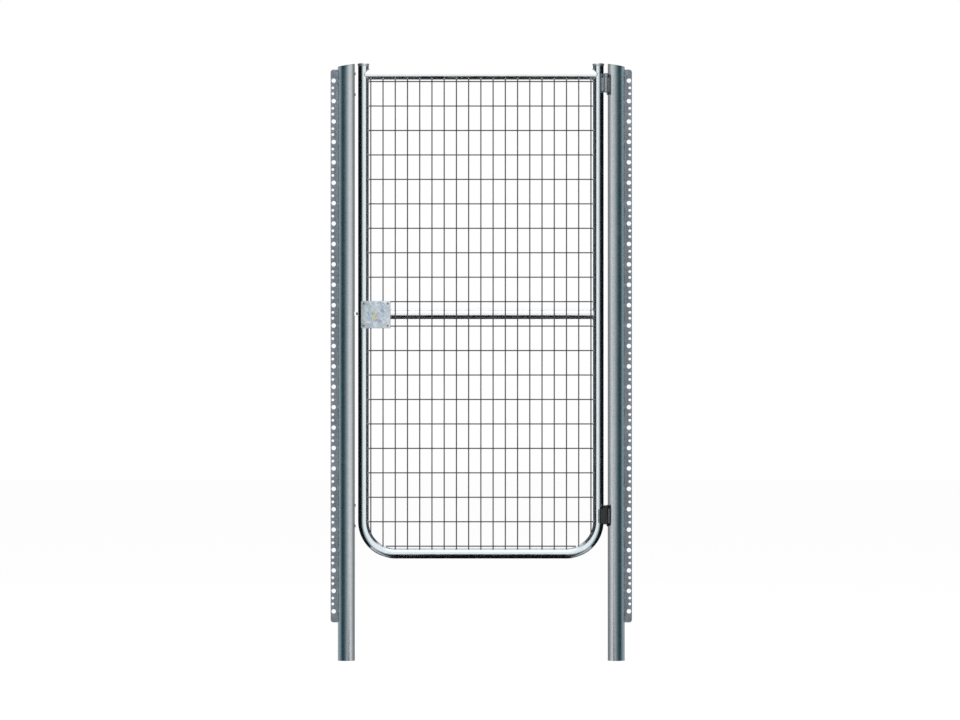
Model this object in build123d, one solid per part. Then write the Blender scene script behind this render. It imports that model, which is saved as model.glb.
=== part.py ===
from build123d import *
import math
import os

# Welded mesh gate: a bent tube leaf with a mesh panel, hung between two round posts.
# Millimetres, Z up. The hinge post stands on the origin, the leaf reaches towards -X
# and swings out towards -Y.

# Posts
POST_D = 70.0
POST_WALL = 2.9
POST_H = 2441.0
POST_TOP_FALL = 12.0  # how far the sloping top drops across the post
POST_CAP_T = 3.0

# Leaf frame, a tube bent to a U with a top rail and a middle rail
LEAF_W = 1005.0
TUBE_D = 44.5
TUBE_WALL = 2.6
BORE_SIDES = 8  # the frame tubes' bores are eight-sided, with a round bore's area
BEND_R = 130.0
BOTTOM_RAIL_Z = 439.0
TOP_RAIL_DROP = 43.5  # from the posts' tops to the top rail's middle line
UPRIGHT_ABOVE_RAIL = 33.5
HINGE_GAP = 16.4
LOCK_GAP = 13.0

# Upright caps
CAP_H = 12.0
CAP_LIP = 2.0

# Mesh
WIRE_D = 5.0
MESH_PITCH_X = 50.0
MESH_PITCH_Z = 100.0
MESH_FORWARD = 13.5  # from the frame's middle plane to where the two layers of wire meet

# Comb strips that carry the fence
STRIP_W = 29.0
STRIP_T = 4.0
STRIP_Z = 156.0
STRIP_DROP = 23.0  # from the posts' tops to the strips' tops
STRIP_CORNER_R = 12.0
STRIP_HOLE_D = 18.0
STRIP_HOLE_PITCH = 83.5
STRIP_HOLE_END = 45.0
STRIP_HOLE_IN = 16.5  # hole centre from the post's side
PLAIN_HOLE_SIDES = 6  # all but the gauge holes, which are round

# Hinges
HINGE_H = 88.0
LOWER_HINGE_RISE = 110.0  # from the bottom rail's middle line to the lower hinge's foot
UPPER_HINGE_DROP = 83.5  # from the top rail's middle line to the upper hinge's foot
HINGE_FORWARD = 25.0
PIN_D = 10.0
PIN_FIT = 0.05
PIN_HEAD_D = 15.0
PIN_HEAD_T = 3.0
EYE_D = 18.0
LOWER_EYE_D = 19.8
LUG_H = 12.0
LUG_FALL = 9.0  # how much deeper the lowest lug is at the post
END_PLAY = 0.5
SADDLE_T = 4.0
SADDLE_FROM = 162.0
SADDLE_TO = 196.0
LEAF_SADDLE_T = 3.5
LEAF_SADDLE_FROM = -32.0
LEAF_SADDLE_TO = 24.0
LOWER_PAD_D = 12.0
LOWER_PAD_ANGLE = -66.0

# Lock
LOCK_W = 120.0
LOCK_H = 112.0
LOCK_OVERHANG = 9.5  # how far the plates reach past the middle of the upright
LOCK_SHEET = 3.0
LOCK_CORNER = 3.0
LOCK_HEIGHT = 1415.0  # wanted height, which the middle rail meets between two row wires
LOCK_DROP = 3.25  # from the middle rail's middle line to the case's
CYLINDER_D = 17.0
CYLINDER_TAIL_W = 10.0
CYLINDER_H = 33.0
CYLINDER_PROUD = 3.0
CYLINDER_FROM_EDGE = 54.5
CYLINDER_DROP = 1.0

# Lock bolt and its hole in the lock post
BOLT_H = 11.0
BOLT_T = 18.0
BOLT_RISE = 4.0
BOLT_OUT = 8.0
BOLT_TAIL = 3.0
BOLT_NOSE = 4.0
BOLT_FIT = 0.5
KEEP_MARGIN = 3.0

# Screws in the lock post's spare hinge holes
SPARE_SCREW_ACROSS = 11.0
SPARE_SCREW_T = 3.0
SPARE_SCREW_SPACING = 85.0

# Seats between fixed pieces
SEAT = 0.3

POST_R = POST_D / 2
POST_BORE_R = POST_R - POST_WALL
TUBE_R = TUBE_D / 2
TUBE_BORE_AREA = math.pi * (TUBE_R - TUBE_WALL) ** 2
TUBE_BORE_R = math.sqrt(2 * TUBE_BORE_AREA / BORE_SIDES / math.sin(math.tau / BORE_SIDES))
WIRE_R = WIRE_D / 2
EYE_R = EYE_D / 2
LOWER_EYE_R = LOWER_EYE_D / 2

HINGE_UPRIGHT_X = -(POST_R + HINGE_GAP + TUBE_R)
LOCK_UPRIGHT_X = HINGE_UPRIGHT_X - (LEAF_W - TUBE_D)
LOCK_POST_X = LOCK_UPRIGHT_X - (TUBE_R + LOCK_GAP + POST_R)
LEAF_MID_X = (HINGE_UPRIGHT_X + LOCK_UPRIGHT_X) / 2
TOP_RAIL_Z = POST_H - TOP_RAIL_DROP
UPRIGHT_TOP_Z = TOP_RAIL_Z + UPRIGHT_ABOVE_RAIL
STRIP_L = POST_H - STRIP_DROP - STRIP_Z
LOWER_HINGE_Z = BOTTOM_RAIL_Z + LOWER_HINGE_RISE
UPPER_HINGE_Z = TOP_RAIL_Z - UPPER_HINGE_DROP

HINGE_X = -(POST_R + HINGE_GAP / 2)
HINGE_Y = -HINGE_FORWARD

COLUMN_WIRE_Y = -(MESH_FORWARD + WIRE_R)
ROW_WIRE_Y = -(MESH_FORWARD - WIRE_R)
MIDDLE_RAIL_Y = -MESH_FORWARD + TUBE_R


def wire_places(low, high, pitch):
    """Evenly pitched wire places centred between two tubes."""
    count = int((high - low - WIRE_D) // pitch) + 1
    first = (low + high - (count - 1) * pitch) / 2
    return [first + number * pitch for number in range(count)]


COLUMN_PLACES = wire_places(LOCK_UPRIGHT_X + TUBE_R, HINGE_UPRIGHT_X - TUBE_R, MESH_PITCH_X)
ROW_PLACES = wire_places(BOTTOM_RAIL_Z + TUBE_R, TOP_RAIL_Z - TUBE_R, MESH_PITCH_Z)
BETWEEN_ROWS = [(low + high) / 2 for low, high in zip(ROW_PLACES, ROW_PLACES[1:])]
MIDDLE_RAIL_Z = min(BETWEEN_ROWS, key=lambda z: abs(z - LOCK_HEIGHT))

LOCK_Z = MIDDLE_RAIL_Z - LOCK_DROP
BOLT_Z = LOCK_Z + BOLT_RISE
CYLINDER_Z = LOCK_Z - CYLINDER_DROP
LOCK_LEFT_X = LOCK_UPRIGHT_X - LOCK_OVERHANG
LOCK_RIGHT_X = LOCK_LEFT_X + LOCK_W
LOCK_LOW_Z = LOCK_Z - LOCK_H / 2
LOCK_TOP_Z = LOCK_Z + LOCK_H / 2
LOCK_PLATE_Y = TUBE_R + SEAT
CYLINDER_X = LOCK_LEFT_X + CYLINDER_FROM_EDGE


def upright_bar(radius, x, y, low, high):
    """A round bar standing at x, y from low to high."""
    return Pos(x, y, low) * extrude(Circle(radius), high - low)


def ring_sector(inner, outer, start, end):
    """The flat face between two radii and two angles about the origin."""
    def at(radius, angle):
        turn = math.radians(angle)
        return (radius * math.cos(turn), radius * math.sin(turn))

    middle = (start + end) / 2
    outline = [
        ThreePointArc(at(inner, start), at(inner, middle), at(inner, end)),
        Line(at(inner, end), at(outer, end)),
        ThreePointArc(at(outer, end), at(outer, middle), at(outer, start)),
        Line(at(outer, start), at(inner, start)),
    ]
    return make_face(Wire(outline))


def tapered_face(x1, y1, radius1, x2, y2, radius2):
    """The flat face that two circles and their outer tangents enclose."""
    first = Pos(x1, y1) * Circle(radius1)
    second = Pos(x2, y2) * Circle(radius2)
    return make_hull(first.edges() + second.edges())


def side_view(points):
    """A prism of the given X, Z outline, deep enough to span a post."""
    outline = Plane.XZ * make_face(Polyline(*points, close=True))
    return extrude(outline, POST_D, both=True)


def post_slope(x, side, below):
    """Height of the sloping post top at x from the post's middle, less a depth below it."""
    return POST_H - POST_TOP_FALL * (1 + side * x / POST_R) / 2 - below


def under_slope(side, below, low):
    """Everything under the sloping top, from low up, for a post whose outer side is side."""
    reach = POST_R + 1
    return side_view([
        (-reach, low),
        (reach, low),
        (reach, post_slope(reach, side, below)),
        (-reach, post_slope(-reach, side, below)),
    ])


def post(x, side):
    """A round post with a sloping top, open inside."""
    tube = upright_bar(POST_R, 0, 0, 0, POST_H) - upright_bar(POST_BORE_R, 0, 0, 0, POST_H)
    return Pos(x, 0, 0) * (tube & under_slope(side, POST_CAP_T + SEAT, 0))


def post_cap(x, side):
    """The plate that closes a post's sloping top."""
    low = POST_H - 3 * POST_TOP_FALL
    lid = under_slope(side, 0, low) - under_slope(side, POST_CAP_T, low)
    return Pos(x, 0, 0) * (lid & upright_bar(POST_R, 0, 0, low, POST_H))


def comb_strip(x, side):
    """The punched flat bar on a post's outer side that takes the fence."""
    inner = POST_R + SEAT
    outer = inner + STRIP_W
    blank = Pos((inner + outer) / 2, STRIP_L / 2) * Rectangle(STRIP_W, STRIP_L)
    corners = blank.vertices().sort_by(Axis.X)[-2:]
    blank = fillet(corners, STRIP_CORNER_R)
    count = int((STRIP_L - 2 * STRIP_HOLE_END) // STRIP_HOLE_PITCH) + 1
    first = (STRIP_L - (count - 1) * STRIP_HOLE_PITCH) / 2
    # A pair of gauge holes at the foot, the middle and the top takes the fence's bolts
    gauge_holes = (0, 1, count // 2, count // 2 + 1, count - 2, count - 1)
    round_punch = Circle(STRIP_HOLE_D / 2)
    plain_punch = RegularPolygon(STRIP_HOLE_D / 2, PLAIN_HOLE_SIDES)
    punches = []
    for number in range(count):
        punch = round_punch if number in gauge_holes else plain_punch
        punches.append(Pos(inner + STRIP_HOLE_IN, first + number * STRIP_HOLE_PITCH) * punch)
    strip = extrude(blank - punches, STRIP_T / 2, both=True)
    strip = Pos(0, 0, STRIP_Z) * Rot(90, 0, 0) * strip
    if side < 0:
        strip = mirror(strip, Plane.YZ)
    return Pos(x, 0, 0) * strip


def bolt_block(left, right, margin):
    """A block along the bolt's line, larger than the bolt by a margin all round."""
    block = Box(right - left, BOLT_T + 2 * margin, BOLT_H + 2 * margin)
    return Pos((left + right) / 2, 0, BOLT_Z) * block


def frame_tube():
    """The leaf's two uprights and bottom rail, one tube bent at both lower corners."""
    path = FilletPolyline(
        (LOCK_UPRIGHT_X, 0, UPRIGHT_TOP_Z),
        (LOCK_UPRIGHT_X, 0, BOTTOM_RAIL_Z),
        (HINGE_UPRIGHT_X, 0, BOTTOM_RAIL_Z),
        (HINGE_UPRIGHT_X, 0, UPRIGHT_TOP_Z),
        radius=BEND_R,
    )
    start = Plane(origin=path @ 0, z_dir=path % 0)
    tube = sweep(start * (Circle(TUBE_R) - RegularPolygon(TUBE_BORE_R, BORE_SIDES)), path=path)
    return tube - bolt_block(LOCK_UPRIGHT_X - TUBE_D, LOCK_UPRIGHT_X + TUBE_D, BOLT_FIT)


def rail(y, z, left, right):
    """A round tube lying along X, coped to the uprights that it meets."""
    start = Plane(origin=(left, y, z), x_dir=(0, 1, 0), z_dir=(1, 0, 0))
    section = Circle(TUBE_R) - RegularPolygon(TUBE_BORE_R, BORE_SIDES)
    tube = extrude(start * section, right - left)
    for x in (LOCK_UPRIGHT_X, HINGE_UPRIGHT_X):
        tube -= upright_bar(TUBE_R + SEAT, x, 0, z - TUBE_D, z + TUBE_D)
    return tube


def upright_cap(x):
    """A flared cap on the top of an upright."""
    low = UPRIGHT_TOP_Z + SEAT
    lip = TUBE_R + CAP_LIP
    outline = Plane.XZ * make_face(Polyline(
        (0, low),
        (TUBE_R, low),
        (lip, low + CAP_H / 2),
        (lip - CAP_H / 2, low + CAP_H),
        (0, low + CAP_H),
        close=True,
    ))
    return Pos(x, 0, 0) * revolve(outline, Axis.Z)


def tube_reach(y):
    """How far from its middle line a frame tube still meets a wire whose inner side is at y."""
    return math.sqrt(TUBE_R**2 - y**2) + SEAT


def bend_reach(y, across):
    """How far a wire runs past the bend's centre, at a distance across from that centre."""
    inner = BEND_R - tube_reach(y)
    return math.sqrt(max(inner**2 - across**2, 0))


def column_wire(x, low, high):
    """An upright six-sided wire with a flat towards the row wires."""
    section = RegularPolygon(WIRE_R, 6, major_radius=False)
    return Pos(x, COLUMN_WIRE_Y, low) * extrude(section, high - low)


def row_wire(z, left, right):
    """A level six-sided wire with a flat towards the column wires."""
    section = RegularPolygon(WIRE_R, 6, major_radius=False, rotation=30)
    start = Plane(origin=(left, ROW_WIRE_Y, z), x_dir=(0, 1, 0), z_dir=(1, 0, 0))
    return start * extrude(section, right - left)


def mesh_panel():
    """Column wires in front of row wires, welded where they cross, cut round the lock."""
    bend_z = BOTTOM_RAIL_Z + BEND_R
    column_inner = -MESH_FORWARD
    row_inner = ROW_WIRE_Y + WIRE_R
    wires = []
    for x in COLUMN_PLACES:
        off_upright = (HINGE_UPRIGHT_X - LOCK_UPRIGHT_X) / 2 - abs(x - LEAF_MID_X)
        low = BOTTOM_RAIL_Z + tube_reach(column_inner)
        if off_upright < BEND_R:
            across = BEND_R - off_upright + WIRE_R
            low = bend_z - bend_reach(column_inner, across)
        high = TOP_RAIL_Z - tube_reach(column_inner)
        if x - WIRE_D < LOCK_RIGHT_X:
            wires.append(column_wire(x, low, LOCK_LOW_Z - SEAT))
            wires.append(column_wire(x, LOCK_TOP_Z + SEAT, high))
        else:
            wires.append(column_wire(x, low, high))
    for z in ROW_PLACES:
        inset = tube_reach(row_inner)
        if z < bend_z:
            inset = BEND_R - bend_reach(row_inner, bend_z - z + WIRE_R)
        left = LOCK_UPRIGHT_X + inset
        if LOCK_LOW_Z - WIRE_D < z < LOCK_TOP_Z + WIRE_D:
            left = LOCK_RIGHT_X + SEAT
        wires.append(row_wire(z, left, HINGE_UPRIGHT_X - inset))
    return wires[0].fuse(*wires[1:])


def hinge_bracket(low):
    """The post's half of a hinge: a saddle welded to the post with a lug at each end."""
    saddle = extrude(
        ring_sector(POST_R + SEAT, POST_R + SEAT + SADDLE_T, SADDLE_FROM, SADDLE_TO), HINGE_H
    )
    root = math.radians(SADDLE_TO - EYE_R)
    root_r = POST_R + SADDLE_T
    lug_face = tapered_face(
        HINGE_X, HINGE_Y, EYE_R, root_r * math.cos(root), root_r * math.sin(root), EYE_R * 0.7
    )
    lower_lug = extrude(lug_face, LUG_H)
    # The lowest lug is a wedge, deepest at the post
    wedge = side_view([
        (HINGE_X - EYE_D, -1),
        (HINGE_X - EYE_D, LUG_FALL),
        (HINGE_X, LUG_FALL),
        (-POST_R, 0),
        (-POST_R, -1),
    ])
    lower_lug -= wedge
    upper_lug = Pos(0, 0, HINGE_H - PIN_HEAD_T - LUG_H) * extrude(lug_face, LUG_H)
    bracket = saddle + lower_lug + upper_lug
    bracket -= upright_bar(POST_R + SEAT, 0, 0, -1, HINGE_H + 1)
    bracket -= upright_bar(PIN_D / 2 + PIN_FIT, HINGE_X, HINGE_Y, -1, HINGE_H + 1)
    return Pos(0, 0, low) * bracket


def hinge_pin(low):
    """The pin that both lugs and the eye turn on, with a flat head."""
    shank = upright_bar(PIN_D / 2, HINGE_X, HINGE_Y, low + LUG_FALL, low + HINGE_H - PIN_HEAD_T)
    head = upright_bar(
        PIN_HEAD_D / 2, HINGE_X, HINGE_Y, low + HINGE_H - PIN_HEAD_T, low + HINGE_H
    )
    return shank + head


def hinge_eye(low, eye_face):
    """The leaf's half of a hinge: an eye between the lugs, seated on the upright."""
    bottom = low + LUG_H + END_PLAY
    top = low + HINGE_H - PIN_HEAD_T - LUG_H - END_PLAY
    eye = Pos(0, 0, bottom) * extrude(eye_face, top - bottom)
    eye -= upright_bar(TUBE_R + SEAT, HINGE_UPRIGHT_X, 0, low, low + HINGE_H)
    return eye - upright_bar(PIN_D / 2 + PIN_FIT, HINGE_X, HINGE_Y, low, low + HINGE_H)


def slim_eye_face():
    """The upper eye: a round eye and a web in the gap, with a thin saddle on the upright."""
    saddle = Pos(HINGE_UPRIGHT_X, 0) * ring_sector(
        TUBE_R + SEAT, TUBE_R + SEAT + LEAF_SADDLE_T, LEAF_SADDLE_FROM, LEAF_SADDLE_TO
    )
    root = math.radians(LEAF_SADDLE_FROM / 2)
    web = tapered_face(
        HINGE_X,
        HINGE_Y,
        EYE_R,
        HINGE_UPRIGHT_X + TUBE_R * math.cos(root),
        TUBE_R * math.sin(root),
        EYE_R * 0.5,
    )
    return web + saddle


def broad_eye_face():
    """The lower eye: a thick eye with a pad that laps the front of the upright."""
    angle = math.radians(LOWER_PAD_ANGLE)
    reach = TUBE_R + LOWER_PAD_D / 2
    return tapered_face(
        HINGE_X,
        HINGE_Y,
        LOWER_EYE_R,
        HINGE_UPRIGHT_X + reach * math.cos(angle),
        reach * math.sin(angle),
        LOWER_PAD_D / 2,
    )


def cylinder_profile(grow):
    """The lock cylinder's keyhole outline, in X and Z, grown on every side by grow."""
    head = Pos(CYLINDER_X, CYLINDER_Z) * Circle(CYLINDER_D / 2 + grow)
    tail_r = CYLINDER_TAIL_W / 2 + grow
    tail_z = CYLINDER_Z + CYLINDER_D / 2 - CYLINDER_H + CYLINDER_TAIL_W / 2
    tail_h = CYLINDER_Z - tail_z
    tail = Pos(CYLINDER_X, tail_z + tail_h / 2) * Rectangle(2 * tail_r, tail_h)
    toe = Pos(CYLINDER_X, tail_z) * Circle(tail_r)
    return head + tail + toe


def across_leaf(face, front, back):
    """A prism of an X, Z outline that runs from y = front to y = back."""
    return Plane(origin=(0, back, 0), x_dir=(1, 0, 0), z_dir=(0, -1, 0)) * extrude(
        face, back - front
    )


def lock_plate(front):
    """One of the two plates that clasp the upright and close the lock case."""
    blank = Pos((LOCK_LEFT_X + LOCK_RIGHT_X) / 2, LOCK_Z) * Rectangle(LOCK_W, LOCK_H)
    blank = chamfer(blank.vertices(), LOCK_CORNER)
    return across_leaf(blank - cylinder_profile(SEAT), front, front + LOCK_SHEET)


def lock_case():
    """The folded band between the plates, open towards the upright."""
    left = LOCK_UPRIGHT_X
    width = LOCK_RIGHT_X - left
    band = Pos(left + width / 2, LOCK_Z) * Rectangle(width, LOCK_H)
    room = Pos(left + (width - LOCK_SHEET) / 2, LOCK_Z) * Rectangle(
        width - LOCK_SHEET, LOCK_H - 2 * LOCK_SHEET
    )
    case = across_leaf(band - room, -LOCK_PLATE_Y, LOCK_PLATE_Y)
    return case - upright_bar(TUBE_R + SEAT, LOCK_UPRIGHT_X, 0, LOCK_LOW_Z - 1, LOCK_TOP_Z + 1)


def lock_cylinder():
    """The key cylinder through both plates."""
    reach = LOCK_PLATE_Y + LOCK_SHEET + CYLINDER_PROUD
    return across_leaf(cylinder_profile(0), -reach, reach)


def lock_bolt():
    """The flat bolt through the lock upright, the outer edges of its nose chamfered."""
    nose = LOCK_UPRIGHT_X - TUBE_R - BOLT_OUT
    bolt = bolt_block(nose, LOCK_UPRIGHT_X + TUBE_R + BOLT_TAIL, 0)
    nose_edges = bolt.faces().sort_by(Axis.X)[0].edges().filter_by(Axis.Z)
    return chamfer(nose_edges, BOLT_NOSE)


def lock_post():
    """The lock post, with the slot that keeps the thrown bolt."""
    keep = bolt_block(LOCK_POST_X, LOCK_POST_X + POST_D, KEEP_MARGIN)
    return post(LOCK_POST_X, -1) - keep


def spare_screws():
    """Six-sided screw heads in the hinge holes that a gate of the other hand would use."""
    face = Plane(origin=(LOCK_POST_X + POST_R + SEAT, 0, 0), x_dir=(0, 1, 0), z_dir=(1, 0, 0))
    head = RegularPolygon(SPARE_SCREW_ACROSS / 2, 6, major_radius=False)
    screws = []
    for foot in (LOWER_HINGE_Z, UPPER_HINGE_Z):
        for end in (-1, 1):
            height = foot + (HINGE_H + end * SPARE_SCREW_SPACING) / 2
            screws.append(extrude(face * Pos(0, height) * head, SPARE_SCREW_T))
    return Compound(children=screws)


nodes = {
    "hinge_post": post(0, 1),
    "hinge_post_fence_strip": comb_strip(0, 1),
    "lock_post": lock_post(),
    "post_caps": Compound(children=[post_cap(0, 1), post_cap(LOCK_POST_X, -1)]),
    "lock_post_fence_strip": comb_strip(LOCK_POST_X, -1),
    "lock_post_spare_screws": spare_screws(),
    "upper_hinge_bracket": hinge_bracket(UPPER_HINGE_Z),
    "hinge_pins": Compound(children=[hinge_pin(LOWER_HINGE_Z), hinge_pin(UPPER_HINGE_Z)]),
    "upper_hinge_eye": hinge_eye(UPPER_HINGE_Z, slim_eye_face()),
    "lower_hinge_bracket": hinge_bracket(LOWER_HINGE_Z),
    "lower_hinge_eye": hinge_eye(LOWER_HINGE_Z, broad_eye_face()),
    "leaf_frame_tube": frame_tube(),
    "top_rail": rail(0, TOP_RAIL_Z, LOCK_UPRIGHT_X, HINGE_UPRIGHT_X),
    "middle_rail": rail(
        MIDDLE_RAIL_Y, MIDDLE_RAIL_Z, LOCK_RIGHT_X + SEAT, HINGE_UPRIGHT_X - TUBE_R / 3
    ),
    "upright_caps": Compound(
        children=[upright_cap(LOCK_UPRIGHT_X), upright_cap(HINGE_UPRIGHT_X)]
    ),
    "mesh_panel": mesh_panel(),
    "lock_case": lock_case(),
    "lock_front_plate": lock_plate(-LOCK_PLATE_Y - LOCK_SHEET),
    "lock_back_plate": lock_plate(LOCK_PLATE_Y),
    "lock_cylinder": lock_cylinder(),
    "lock_bolt": lock_bolt(),
}

os.makedirs("parts", exist_ok=True)
for name, shape in nodes.items():
    export_step(shape, f"parts/{name}.step")
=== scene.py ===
import logging
import math
import random
from collections.abc import Callable, Iterator, Sequence
from contextlib import contextmanager
from dataclasses import dataclass, field
from enum import Enum

import bmesh
import bpy
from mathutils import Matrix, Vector


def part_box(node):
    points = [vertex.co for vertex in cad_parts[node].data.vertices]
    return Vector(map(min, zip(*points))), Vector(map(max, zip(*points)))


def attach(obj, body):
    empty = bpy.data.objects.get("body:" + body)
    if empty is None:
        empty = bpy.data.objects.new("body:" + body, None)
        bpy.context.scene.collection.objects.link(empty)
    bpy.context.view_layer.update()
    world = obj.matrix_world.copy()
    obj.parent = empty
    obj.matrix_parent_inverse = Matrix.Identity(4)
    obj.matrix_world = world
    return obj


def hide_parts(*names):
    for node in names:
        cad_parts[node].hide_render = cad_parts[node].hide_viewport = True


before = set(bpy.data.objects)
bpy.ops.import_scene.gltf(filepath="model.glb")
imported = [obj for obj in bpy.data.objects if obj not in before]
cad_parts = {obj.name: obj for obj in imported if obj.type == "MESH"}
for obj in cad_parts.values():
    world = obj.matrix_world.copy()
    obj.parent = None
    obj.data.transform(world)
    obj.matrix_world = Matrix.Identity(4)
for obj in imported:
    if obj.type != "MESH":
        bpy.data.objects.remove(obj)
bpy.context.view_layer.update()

LOG = logging.getLogger("gate")
MM = 0.001
Object = bpy.types.Object
Point = Sequence[float]
RGB = tuple[float, float, float]
Place = tuple[float, float, float]
Test = Callable[[Vector, Vector], bool]
SEAT = 0.3 * MM  # between pieces that touch


class Body(Enum):
    """The moving bodies that a piece can ride on."""

    POSTS = "posts"
    LEAF = "leaf"
    BOLT = "bolt"


class Select(Enum):
    """What an edit selects."""

    EDGES = "EDGE"
    FACES = "FACE"


class Axis(Enum):
    """The way a round piece points: its direction, and the turn that takes +Z there."""

    X = ((1, 0, 0), (0, math.pi / 2, 0))
    BACK = ((0, 1, 0), (-math.pi / 2, 0, 0))
    FRONT = ((0, -1, 0), (math.pi / 2, 0, 0))
    UP = ((0, 0, 1), (0, 0, 0))

    @property
    def way(self) -> Vector:
        """The direction as a vector."""
        return Vector(self.value[0])

    @property
    def turn(self) -> Place:
        """The rotation that takes +Z to this direction."""
        return self.value[1]

    def across(self, factor: float) -> Place:
        """The scale that changes only the two directions across the axis."""
        return tuple(1.0 if abs(c) > 0.5 else factor for c in self.value[0])


class Bench:
    """The modelling steps that the pieces share, each an operator used as by hand."""

    @staticmethod
    def take(*objects: Object) -> None:
        """Selects these objects alone, or nothing, and makes the first one active."""
        bpy.ops.object.select_all(action="DESELECT")
        for obj in objects:
            obj.select_set(True)
        if objects:
            bpy.context.view_layer.objects.active = objects[0]

    @staticmethod
    @contextmanager
    def editing(obj: Object, whole: bool = False) -> Iterator[None]:
        """Opens a piece for editing with nothing selected, or the whole of it."""
        Bench.take(obj)
        bpy.ops.object.mode_set(mode="EDIT")
        bpy.ops.mesh.select_all(action="SELECT" if whole else "DESELECT")
        yield
        bpy.ops.object.mode_set(mode="OBJECT")

    @staticmethod
    def pick(what: Select, test: Test) -> None:
        """Selects what a test accepts, in the piece that is being edited.

        Args:
            what: Whether edges or faces are selected.
            test: Given the middle, and the normal or an edge's direction.
        """
        bpy.ops.mesh.select_mode(type=what.value)
        mesh = bpy.context.object.data
        shape = bmesh.from_edit_mesh(mesh)
        if what is Select.FACES:
            for face in shape.faces:
                face.select_set(test(face.calc_center_median(), face.normal))
        else:
            for edge in shape.edges:
                first, last = (vert.co for vert in edge.verts)
                edge.select_set(test((first + last) / 2, (last - first).normalized()))
        shape.select_flush_mode()
        bmesh.update_edit_mesh(mesh)

    @staticmethod
    def settle(obj: Object, name: str | None = None) -> Object:
        """Puts a piece's place, turn and scale into its mesh, and names it."""
        Bench.take(obj)
        bpy.ops.object.transform_apply(location=True, rotation=True, scale=True)
        if name:
            obj.name = name
            obj.data.name = name
        return obj

    @staticmethod
    def outward() -> None:
        """Merges doubles and turns all faces of the edited piece outwards."""
        bpy.ops.mesh.select_all(action="SELECT")
        bpy.ops.mesh.remove_doubles(threshold=0.02 * MM)
        bpy.ops.mesh.normals_make_consistent(inside=False)

    @staticmethod
    def draw(way: Point) -> None:
        """Extrudes what is selected by a shift."""
        bpy.ops.mesh.extrude_region_move(TRANSFORM_OT_translate={"value": tuple(way)})

    @staticmethod
    def ring(name: str, radius: float, at: Point, axis: Axis, sides: int,
             filled: bool = False) -> Object:
        """A circle of edges, open or filled, facing along an axis."""
        Bench.take()
        bpy.ops.mesh.primitive_circle_add(
            vertices=sides, radius=radius, fill_type="NGON" if filled else "NOTHING",
            location=tuple(at), rotation=axis.turn)
        return Bench.settle(bpy.context.object, name)

    @staticmethod
    def turned(name: str, at: Point, axis: Axis, profile: Sequence[tuple[float, float]],
               sides: int = 48) -> Object:
        """A solid turned piece, extruded and scaled ring by ring.

        Args:
            name: The piece's name.
            at: The point on its axis that heights are measured from.
            axis: The way its heights grow.
            profile: Radius and height of each ring, from one closed end to the other.
            sides: How many sides it has.

        Returns:
            The new object.
        """
        start = Vector(at)
        radius, height = profile[0]
        obj = Bench.ring(name, radius, start + axis.way * height, axis, sides, filled=True)
        with Bench.editing(obj, whole=True):
            for new_radius, new_height in profile[1:]:
                Bench.draw(axis.way * (new_height - height))
                if new_radius != radius:
                    bpy.ops.transform.resize(
                        value=axis.across(new_radius / radius),
                        center_override=tuple(start + axis.way * new_height))
                radius, height = new_radius, new_height
            Bench.outward()
        return obj

    @staticmethod
    def bar(name: str, at: Point, axis: Axis, radius: float, length: float,
            sides: int = 48) -> Object:
        """A plain round bar, or a prism where it has few sides."""
        return Bench.turned(name, at, axis, [(radius, 0.0), (radius, length)], sides)

    @staticmethod
    def block(name: str, low: Point, high: Point) -> Object:
        """A box between two corners, as a start for further shaping."""
        Bench.take()
        low, high = Vector(low), Vector(high)
        bpy.ops.mesh.primitive_cube_add(size=1, location=(low + high) / 2, scale=high - low)
        return Bench.settle(bpy.context.object, name)

    @staticmethod
    def wrapped(name: str, rounds: Sequence[tuple[float, float, float]], low: float,
                high: float) -> Object:
        """An upright block whose outline is drawn tight round bars at x, y, radius."""
        obj = Bench.join(name, [Bench.bar(name, (x, y, low), Axis.UP, radius, high - low, 40)
                                for x, y, radius in rounds])
        with Bench.editing(obj, whole=True):
            bpy.ops.mesh.convex_hull(join_triangles=True)
            Bench.outward()
        return obj

    @staticmethod
    def curved_plate(name: str, centre: tuple[float, float], radii: tuple[float, float],
                     angles: tuple[float, float], heights: tuple[float, float]) -> Object:
        """A plate bent round an upright tube, spun from its end face.

        Args:
            name: The piece's name.
            centre: X and Y of the tube's middle line.
            radii: Inner and outer radius of the plate.
            angles: Start and end angle in degrees, from +X towards +Y.
            heights: Foot and top of the plate.

        Returns:
            The new object.
        """
        start, end = (math.radians(angle) for angle in angles)
        middle = sum(radii) / 2
        Bench.take()
        bpy.ops.mesh.primitive_plane_add(
            size=1, location=(centre[0] + middle * math.cos(start),
                              centre[1] + middle * math.sin(start), sum(heights) / 2),
            rotation=(math.pi / 2, 0, start))
        obj = bpy.context.object
        obj.scale = (radii[1] - radii[0], heights[1] - heights[0], 1)
        Bench.settle(obj, name)
        with Bench.editing(obj, whole=True):
            bpy.ops.mesh.spin(steps=16, angle=start - end, axis=(0, 0, 1),
                              center=(*centre, heights[0]))
            Bench.outward()
        reach = max((v.co.x - centre[0]) * math.cos(end) + (v.co.y - centre[1]) * math.sin(end)
                    for v in obj.data.vertices)
        if reach < radii[1] - 0.1 * MM:
            LOG.warning("%s doesn't end where it should", name)
        return obj

    @staticmethod
    def modify(obj: Object, kind: str, **settings: object) -> Object:
        """Adds one modifier with its settings and applies it."""
        Bench.take(obj)
        modifier = obj.modifiers.new(kind.lower(), kind)
        for key, value in settings.items():
            setattr(modifier, key, value)
        bpy.ops.object.modifier_apply(modifier=modifier.name)
        return obj

    @staticmethod
    def walled(obj: Object, wall: float) -> Object:
        """Gives an open skin its wall, inwards."""
        return Bench.modify(obj, "SOLIDIFY", thickness=wall, offset=-1.0, use_even_offset=True)

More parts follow.
